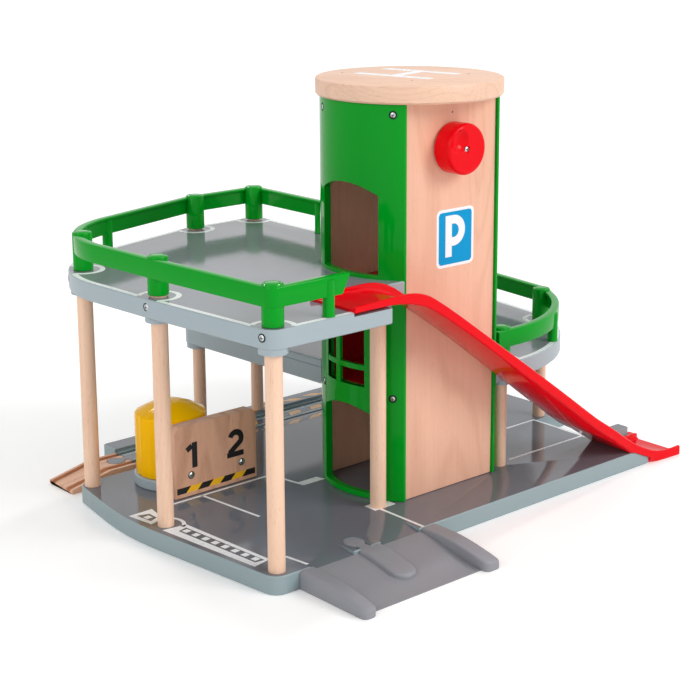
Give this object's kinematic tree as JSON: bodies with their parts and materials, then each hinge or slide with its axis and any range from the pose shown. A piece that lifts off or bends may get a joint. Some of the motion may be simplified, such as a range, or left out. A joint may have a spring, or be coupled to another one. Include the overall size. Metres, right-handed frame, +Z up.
{
  "type": "toy parking garage with lift",
  "caption": "Toy car park on a board: decks on dowels, rail fences, a round tower with a hand-cranked lift, a slide, an entry ramp and a wooden track ramp.",
  "frame": {"origin": "the lift tower's axis, on the base board's underside", "axes": "+X along the front edge to the right, +Y to the back, +Z up"},
  "size_m": [0.5168, 0.4383, 0.3806],
  "materials": {
    "beech": "clear lacquered beech",
    "grey_board": "satin lacquer on fibreboard",
    "grey_plastic": "fine moulded grain",
    "green_plastic": "glossy moulded plastic",
    "red_plastic": "glossy moulded plastic",
    "yellow_plastic": "glossy moulded plastic",
    "steel": "zinc plated",
    "cord": "braided cotton"
  },
  "bodies": {
    "garage": {"base_board": "grey_board", "slide_stop": "grey_board", "dowel_front_left": "beech", "dowel_mid_left": "beech", "dowel_rear_left": "beech", "dowel_beside_slide": "beech", "dowel_rear_middle": "beech", "dowel_rear_tower": "beech", "dowel_front_right": "beech", "dowel_far_right": "beech", "top_deck": "grey_board", "mid_deck": "grey_board", "top_fence": "green_plastic", "right_fence": "green_plastic", "tower_left_shell": "green_plastic", "tower_right_shell": "green_plastic", "tower_front_panel": "beech", "tower_back_panel": "beech", "roof_disc": "beech", "front_bush": "steel", "back_bush": "steel", "number_wall": "beech", "tank_foot": "grey_plastic", "tank_body": "yellow_plastic", "lift_cord": "cord"},
    "crank": {"crank_knob": "red_plastic", "knob_screw": "steel", "crank_shaft": "steel", "cord_spool": "yellow_plastic"},
    "lift": {"lift_car": "red_plastic"},
    "chute": {"slide_chute": "red_plastic"},
    "entry": {"entry_ramp": "grey_plastic"},
    "track": {"track_ramp": "beech"}
  },
  "joints": [
    {"name": "crank_turn", "type": "hinge", "parent": "garage", "child": "crank", "pos_m": [0, -0.0634, 0.324], "axis": [0, -1, 0], "range_deg": [-420, 432]},
    {"name": "lift_travel", "type": "slide", "parent": "garage", "child": "lift", "axis": [0, 0, 1], "range_m": [-0.097, 0.1], "deforming": ["lift_cord"]},
    {"name": "chute_lift_off", "type": "slide", "parent": "garage", "child": "chute", "axis": [0, 0, 1], "range_m": [0, 0.04]},
    {"name": "entry_ramp_lift_off", "type": "slide", "parent": "garage", "child": "entry", "axis": [0, 0, 1], "range_m": [0, 0.03]},
    {"name": "track_ramp_lift_off", "type": "slide", "parent": "garage", "child": "track", "axis": [0, 0, 1], "range_m": [0, 0.03]}
  ],
  "couplings": [
    {"joint": "crank_turn", "follows": "lift_travel", "rad_per_m": 75.19}
  ]
}
